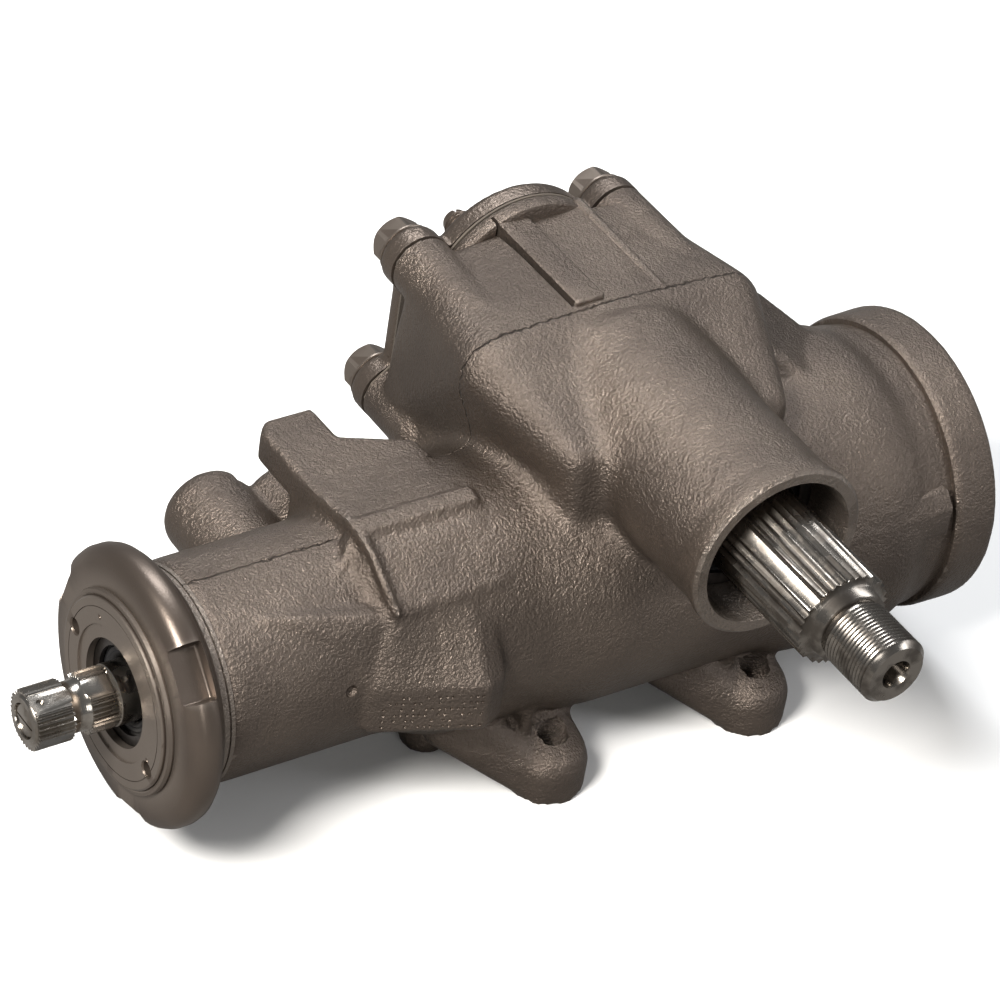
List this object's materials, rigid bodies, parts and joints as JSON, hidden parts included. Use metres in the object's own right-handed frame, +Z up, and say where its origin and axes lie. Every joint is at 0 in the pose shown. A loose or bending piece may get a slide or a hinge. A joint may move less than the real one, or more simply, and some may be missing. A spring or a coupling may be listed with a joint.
{
  "type": "steering gearbox",
  "caption": "Recirculating-ball power steering gear: cast housing with a splined pitman shaft, a serrated input shaft, a bolted side cover, two hose ports and mounting feet.",
  "frame": {"origin": "centre of the bounding box in plan, on the plane of the four mounting pads", "axes": "+X along the main bore towards the end plug, +Y along the pitman shaft towards the side cover, +Z up from the pads"},
  "size_m": [0.3212, 0.2416, 0.143],
  "materials": {
    "painted_iron": "cast iron under a thin warm grey-brown paint with a soft metallic sheen",
    "painted_steel": "steel fasteners under the same grey-brown paint",
    "machined_steel": "bare turned and rolled steel, bright",
    "hardened_steel": "ground and hardened steel",
    "spring_steel": "dark phosphated spring steel",
    "bearing_steel": "polished bearing steel",
    "rubber": "black nitrile rubber",
    "ptfe": "filled PTFE",
    "brass": "turned brass",
    "bronze": "bearing bronze",
    "gasket_fibre": "pressed fibre gasket sheet"
  },
  "bodies": {
    "housing": {"gear_housing": "painted_iron", "side_cover": "painted_iron", "side_cover_gasket": "gasket_fibre", "side_cover_bushing": "bronze", "side_cover_bolt_1": "painted_steel", "side_cover_bolt_2": "painted_steel", "side_cover_bolt_3": "painted_steel", "side_cover_bolt_4": "painted_steel", "lash_adjuster_screw": "painted_steel", "lash_adjuster_lock_nut": "painted_steel", "end_plug": "painted_steel", "end_plug_o_ring": "rubber", "end_plug_retaining_ring": "spring_steel", "adjuster_plug": "painted_iron", "adjuster_plug_o_ring": "rubber", "adjuster_lock_nut": "painted_iron", "stub_seal_snap_ring": "spring_steel", "stub_dust_seal": "rubber", "stub_shaft_seal": "rubber", "stub_needle_bearing": "bearing_steel", "upper_thrust_bearing": "bearing_steel", "lower_thrust_bearing": "bearing_steel", "pitman_needle_bearing": "bearing_steel", "pitman_inner_seal": "rubber", "pitman_seal_washer": "machined_steel", "pitman_outer_seal": "rubber", "pitman_seal_retaining_ring": "spring_steel", "pressure_port_seat": "brass", "return_port_seat": "brass"},
    "pitman": {"pitman_shaft": "machined_steel"},
    "worm": {"worm_shaft": "hardened_steel", "valve_body": "hardened_steel", "valve_body_ring_1": "ptfe", "valve_body_ring_2": "ptfe", "valve_body_ring_3": "ptfe", "valve_body_ring_4": "ptfe"},
    "stub": {"stub_shaft": "machined_steel", "torsion_bar": "machined_steel", "valve_spool": "hardened_steel"},
    "rack": {"rack_piston": "hardened_steel", "rack_piston_end_plug": "painted_steel", "rack_piston_ring": "ptfe", "ball_guide_front": "machined_steel", "ball_guide_rear": "machined_steel", "ball_guide_clamp": "spring_steel", "guide_clamp_screw_1": "painted_steel", "guide_clamp_screw_2": "painted_steel", "ball_01": "bearing_steel", "ball_02": "bearing_steel", "ball_03": "bearing_steel", "ball_04": "bearing_steel", "ball_05": "bearing_steel", "ball_06": "bearing_steel", "ball_07": "bearing_steel", "ball_08": "bearing_steel", "ball_09": "bearing_steel", "ball_10": "bearing_steel"}
  },
  "joints": [
    {"name": "pitman_turn", "type": "hinge", "parent": "housing", "child": "pitman", "pos_m": [0.0466, 0.01375, 0.1101], "axis": [0, 1, 0], "range_deg": [-38, 38]},
    {"name": "rack_slide", "type": "slide", "parent": "housing", "child": "rack", "axis": [1, 0, 0], "range_m": [-0.0212, 0.0212]},
    {"name": "input_turn", "type": "hinge", "parent": "housing", "child": "worm", "pos_m": [0.0466, 0.01375, 0.058], "axis": [1, 0, 0], "range_deg": [-533, 533]},
    {"name": "valve_twist", "type": "hinge", "parent": "worm", "child": "stub", "pos_m": [0.0466, 0.01375, 0.058], "axis": [1, 0, 0], "range_deg": [-6, 6]}
  ],
  "couplings": [
    {"joint": "rack_slide", "follows": "pitman_turn", "m_per_rad": -0.03175},
    {"joint": "input_turn", "follows": "pitman_turn", "ratio": 13.999}
  ]
}
